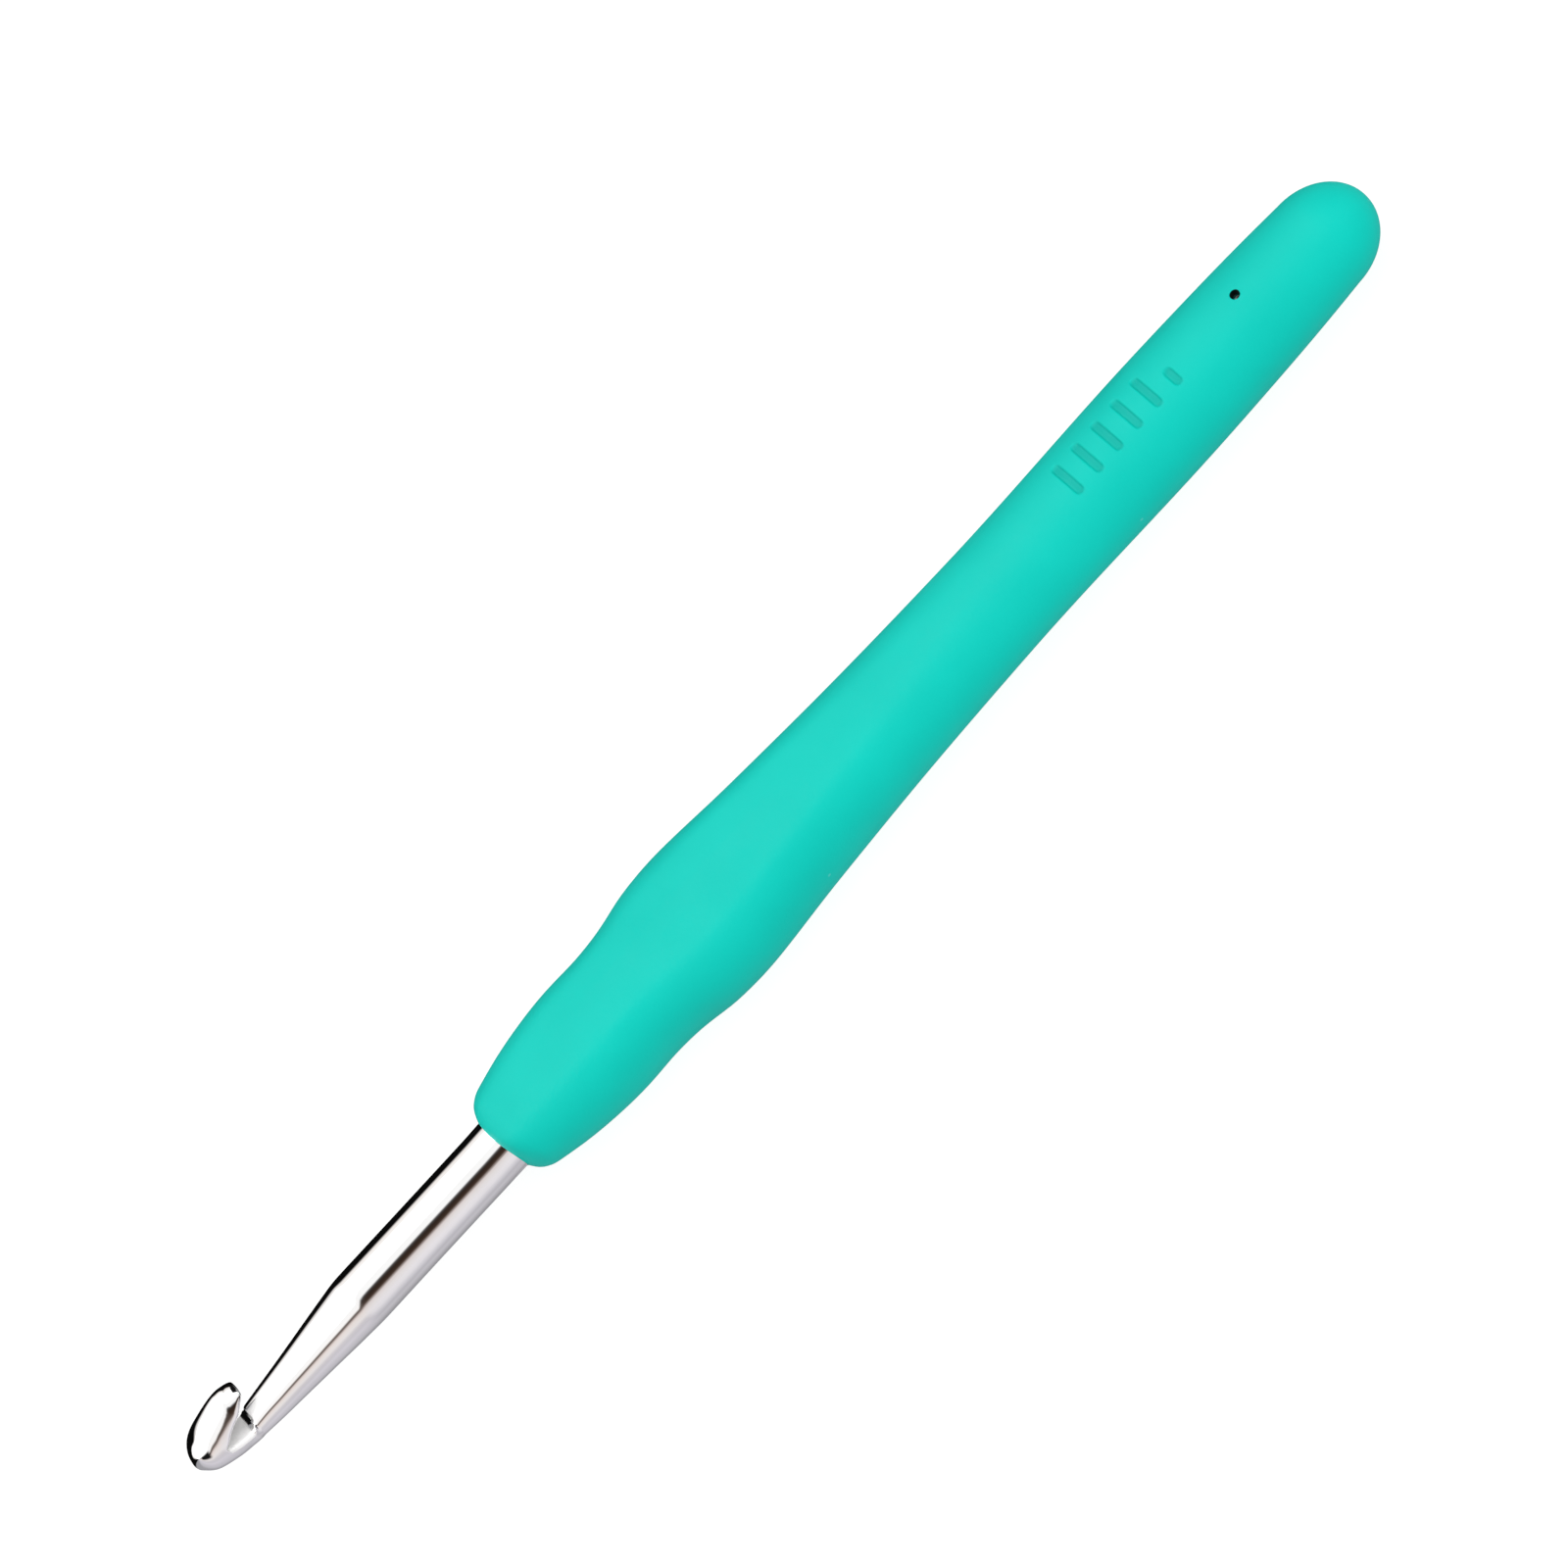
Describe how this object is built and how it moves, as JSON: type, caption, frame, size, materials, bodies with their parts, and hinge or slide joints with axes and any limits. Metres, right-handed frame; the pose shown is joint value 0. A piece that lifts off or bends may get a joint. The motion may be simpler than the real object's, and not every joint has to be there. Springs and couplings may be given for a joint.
{
  "type": "crochet hook",
  "caption": "Crochet hook: polished aluminium hook with tapered throat and rounded head, set in a contoured soft rubber grip with a flattened thumb rest.",
  "frame": {"origin": "centre of the bounding box in X and Y, at the level of the lower flat (z = 0) that the tool rests on", "axes": "+X along the tool from the hook's tip to the tail, +Z out of the grip's thumb flat, +Y to the left of someone looking from tip to tail with the thumb flat up"},
  "size_m": [0.1484, 0.0136, 0.0106],
  "materials": {
    "polished_metal": "polished",
    "core_plastic": "as moulded",
    "grip_rubber": "satin"
  },
  "bodies": {
    "root": {"hook": "polished_metal", "handle_core": "core_plastic", "grip": "grip_rubber"}
  },
  "joints": []
}
